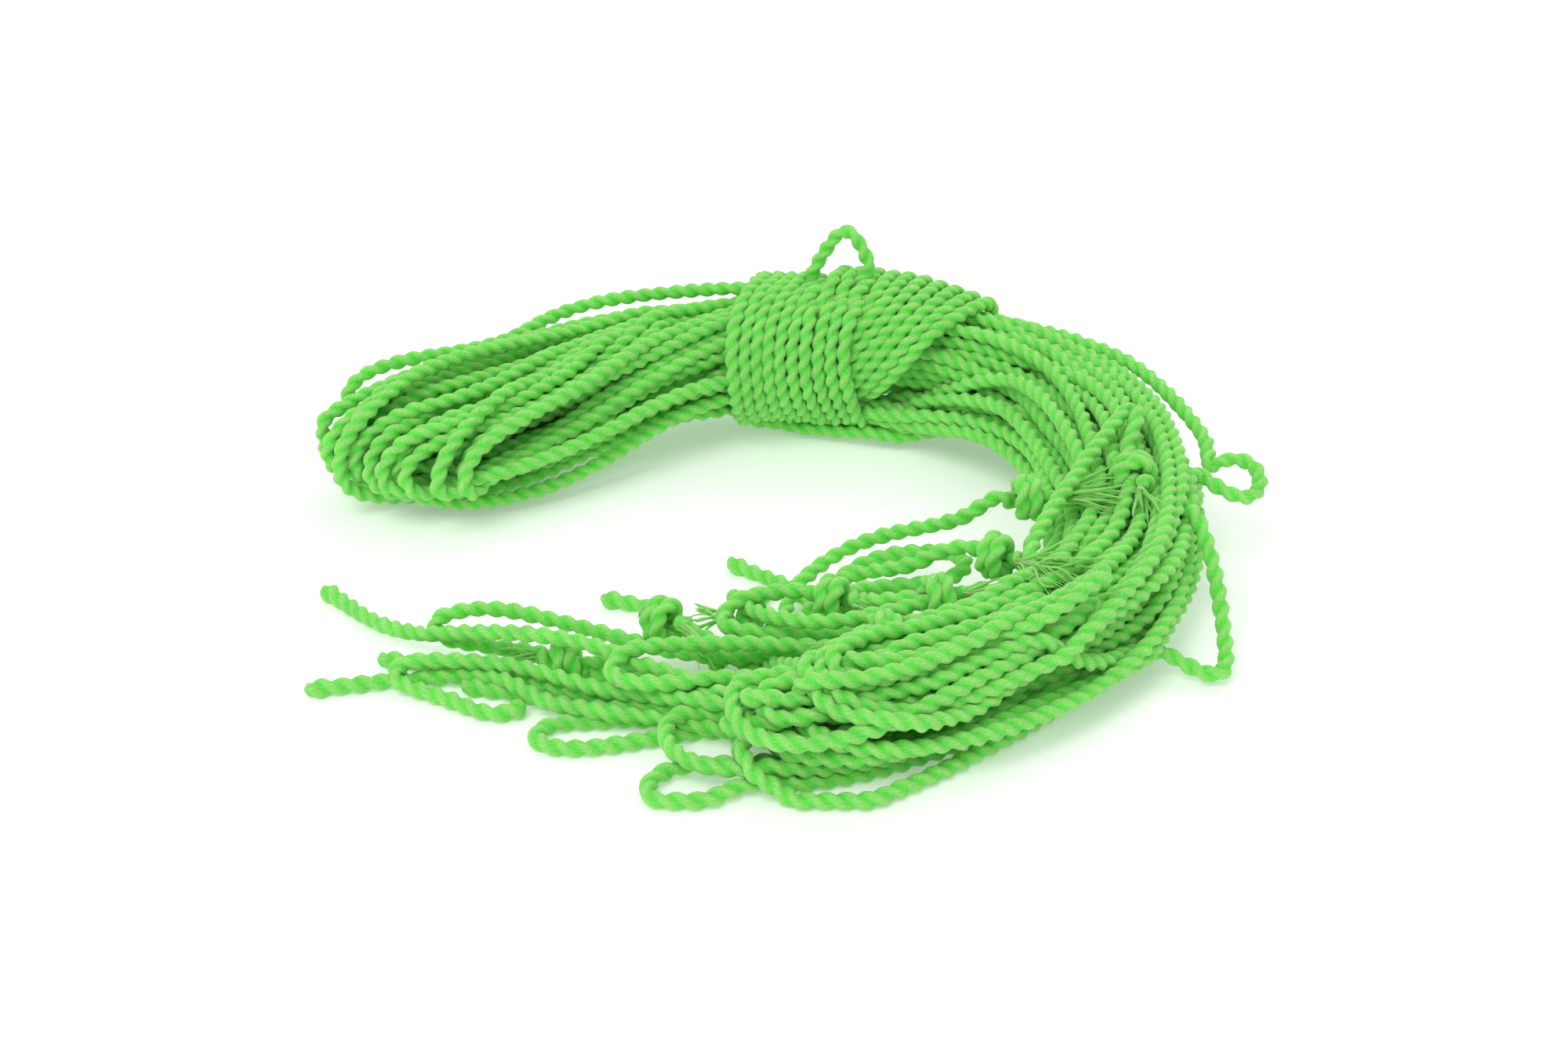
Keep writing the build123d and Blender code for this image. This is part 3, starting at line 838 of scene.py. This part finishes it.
# ---- frayed ends and loose fibres ------------------------------------------------------
def thin_tubes(name, lines, radii, sides, material):
    """Many thin tapered fibres in one mesh."""
    vertices, faces, marks = [], [], []
    base = 0
    for line, radius in zip(lines, radii):
        _, normal, binormal = frames_along(line)
        count = len(line)
        taper = radius * np.sqrt(np.clip(1.0 - np.linspace(0, 0.96, count) ** 3, 0.02, 1))
        angles = np.arange(sides) * 2 * pi / sides
        ring = taper[:, None, None] * (np.cos(angles)[None, :, None] * normal[:, None, :]
                                       + np.sin(angles)[None, :, None] * binormal[:, None, :])
        vertices.append((line[:, None, :] + ring).reshape(-1, 3))
        far = travelled(line)
        mark = np.empty((count, sides, 3))
        mark[..., 0] = 0.3 * np.cos(angles) + rng.uniform(0, 9)
        mark[..., 1] = 0.3 * np.sin(angles)
        mark[..., 2] = far[:, None]
        marks.append(mark.reshape(-1, 3))
        faces.extend(base + tube_quads(count, sides))
        faces.append(base + np.arange(sides)[::-1])
        faces.append(base + (count - 1) * sides + np.arange(sides))
        base += count * sides
    piece = new_object(name, np.concatenate(vertices), faces, material)
    mark_fibres(piece, np.concatenate(marks), np.full(base, 0.9))
    return piece


TUFT_LENGTH = 3.2           # a tuft's longest yarn, which more yarns make longer
LENGTH_PER_YARN = 0.075
YARN_DROOP = 0.14           # how far a yarn's tip hangs down, as a share of its length
YARN_RADII = (0.07, 0.15)
YARN_FLOOR = 0.12           # least height of a yarn's middle
FIBRES_PER_MM = 0.45
FIBRE_LENGTHS = (0.5, 1.5)
FIBRE_RADII = (0.009, 0.017)
FIBRE_ROOT = 0.34           # from a string's middle to a fibre's root, in string diameters
FIBRE_FLOOR = 0.03          # a fibre that would dip below this is left out


def tuft(name, end, direction, yarns):
    """The frayed end past a knot: wavy yarns that fan out and droop."""
    lines, radii = [], []
    side = np.cross(direction, [0.0, 0.0, 1.0])
    side /= np.linalg.norm(side)
    for _ in range(yarns):
        length = rng.uniform(0.55, 1.0) * (TUFT_LENGTH + LENGTH_PER_YARN * yarns)
        spread, lift = rng.normal(0, 0.26), rng.normal(0.0, 0.16)
        steps = np.linspace(0, 1, 12)[:, None]
        wave = 0.22 * length * rng.normal(0, 0.5)
        phase = rng.uniform(0, 6)
        heading = direction + spread * side + np.array([0, 0, lift])
        heading /= np.linalg.norm(heading)
        start = end + rng.normal(0, 0.2, 3)
        line = start + heading * steps * length
        line = line + side * (wave * np.sin(steps * 4.2 + phase) - wave * sin(phase)) * steps
        line[:, 2] -= YARN_DROOP * length * steps[:, 0] ** 2
        line[:, 2] += 0.07 * length * rng.normal() * np.sin(steps[:, 0] * 5.0 + phase) * steps[:, 0]
        line[:, 2] = np.maximum(line[:, 2], YARN_FLOOR)
        lines.append(line)
        radii.append(rng.uniform(*YARN_RADII))
    return thin_tubes(name, lines, radii, 5, fray_cotton)


def loose_fibres(name, line):
    """Short fibres that stand off a string."""
    tangent, normal, binormal = frames_along(line)
    count = int(travelled(line)[-1] * FIBRES_PER_MM)
    lines, radii = [], []
    for _ in range(count):
        at = rng.integers(2, len(line) - 2)
        angle = rng.uniform(0, 2 * pi)
        out = normal[at] * cos(angle) + binormal[at] * sin(angle)
        way = tangent[at] * (1 if rng.random() < 0.5 else -1)
        length = rng.uniform(*FIBRE_LENGTHS)
        steps = np.linspace(0, 1, 5)[:, None]
        curl = rng.normal(0, 0.35, 3)
        fibre = line[at] + out * FIBRE_ROOT * STRING_DIAMETER
        fibre = fibre + length * steps * (0.75 * way + 0.45 * out) + length * steps * steps * curl
        if fibre[:, 2].min() > FIBRE_FLOOR:
            lines.append(fibre)
            radii.append(rng.uniform(*FIBRE_RADII))
    return thin_tubes(name, lines, radii, 3, fray_cotton)


# ---- the ten strings -------------------------------------------------------------------
lines, holds = laid_out()
lines = settle(lines, holds)

# nodes that a string stands for besides its own
CARRIED = {
    0: ["tie_first_turn"],
    1: ["tie_second_turn"],
    STANDING_STRING: ["standing_loop"],
    LIFTED_STRING: ["lifted_strand_left", "lifted_strand_back"],
    RING_STRING: ["lifted_strand_right", "ring_loop"],
    HANGING_STRING: ["hanging_loop"],
}

for index, (name, nodes, hold) in enumerate(zip(STRING_NAMES, lines, holds)):
    line = even_points(spline_points(with_knot(index, nodes, hold), 6), RING_STEP)
    piece = string_skin(f"{name}_two_ply", line, string_cotton)
    heading, rise = radians(KNOTS[index][1]), KNOTS[index][2]
    direction = np.array([cos(heading), sin(heading), rise])
    frayed = tuft(f"{name}_tuft", line[-1], direction, KNOTS[index][3])
    fibres = loose_fibres(f"{name}_fibres", line)
    for part, slot in ((piece, "hank_string"), (frayed, "knot_and_tuft"), (fibres, "hank_string")):
        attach(part, "root")
    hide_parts(f"{name}_hank", f"{name}_loop_end", f"{name}_knot_tail", f"{name}_knot",
                *CARRIED.get(index, []))


# ---- stage: pale floor, soft light, the view -------------------------------------------
FLOOR_REACH = 3.0           # metres from the object to the floor's edges


def stage_floor():
    """A white floor that keeps a soft shadow."""
    mesh = bpy.data.meshes.new("floor")
    corners = [(-FLOOR_REACH, -FLOOR_REACH, 0), (FLOOR_REACH, -FLOOR_REACH, 0),
               (FLOOR_REACH, FLOOR_REACH, 0), (-FLOOR_REACH, FLOOR_REACH, 0)]
    mesh.from_pydata(corners, [], [(0, 1, 2, 3)])
    floor = bpy.data.objects.new("floor", mesh)
    bpy.context.scene.collection.objects.link(floor)
    material = bpy.data.materials.new("floor_white")
    material.use_nodes = True
    shader = material.node_tree.nodes["Principled BSDF"]
    shader.inputs["Base Color"].default_value = (0.93, 0.93, 0.93, 1.0)
    shader.inputs["Emission Color"].default_value = (1.0, 1.0, 1.0, 1.0)
    shader.inputs["Emission Strength"].default_value = 0.22
    shader.inputs["Roughness"].default_value = 0.9
    shader.inputs["Specular IOR Level"].default_value = 0.0
    mesh.materials.append(material)


def world_light():
    """An even white surround, pure white to the camera."""
    world = bpy.data.worlds.new("world")
    bpy.context.scene.world = world
    world.use_nodes = True
    nodes, links = world.node_tree.nodes, world.node_tree.links
    ground = nodes["Background"]
    ground.inputs["Color"].default_value = (1, 1, 1, 1)
    rays = nodes.new("ShaderNodeLightPath")
    seen = nodes.new("ShaderNodeMath")
    seen.operation = "MAXIMUM"
    links.new(rays.outputs["Is Camera Ray"], seen.inputs[0])
    links.new(rays.outputs["Is Glossy Ray"], seen.inputs[1])
    strength = map_range(nodes, 0.0, 1.0, 0.66, 1.0)
    links.new(seen.outputs["Value"], strength.inputs["Value"])
    links.new(strength.outputs["Result"], ground.inputs["Strength"])


def soft_lamp(name, place, size, power):
    """A large soft area lamp that points at the object."""
    lamp = bpy.data.lights.new(name, "AREA")
    lamp.shape = "DISK"
    lamp.size = size
    lamp.energy = power
    holder = bpy.data.objects.new(name, lamp)
    holder.location = place
    bpy.context.scene.collection.objects.link(holder)
    aim(holder, (0.0, 0.0, 0.0))


def aim(holder, target):
    """Turns a lamp or the camera towards a point."""
    away = np.array(target) - np.array(holder.location)
    level = np.hypot(away[0], away[1])
    holder.rotation_euler = (atan2(level, -away[2]), 0.0, atan2(-away[0], away[1]))


VIEW_CENTRE = np.array([0.0, 0.0, 4.7])
VIEW_DISTANCE = 183.9
LOOK_DOWN = 29.0            # the view's slope, in degrees below level
FOCAL_LENGTH = 52.2
SENSOR_WIDTH = 36.0


def camera():
    """The view from in front and a little above."""
    target = (VIEW_CENTRE - DRAWING_CENTRE) * MM
    distance, look_down = VIEW_DISTANCE * MM, radians(LOOK_DOWN)
    lens = bpy.data.cameras.new("camera")
    lens.lens = FOCAL_LENGTH
    lens.sensor_width = SENSOR_WIDTH
    lens.clip_start = 0.005
    holder = bpy.data.objects.new("camera", lens)
    holder.location = target + distance * np.array([0.0, -cos(look_down), sin(look_down)])
    bpy.context.scene.collection.objects.link(holder)
    aim(holder, target)
    bpy.context.scene.camera = holder


stage_floor()
world_light()
soft_lamp("key", (-0.25, -0.35, 0.65), 0.45, 2.0)
soft_lamp("back", (0.3, 0.45, 0.45), 0.4, 0.9)
camera()
bpy.context.scene.view_settings.view_transform = "Standard"
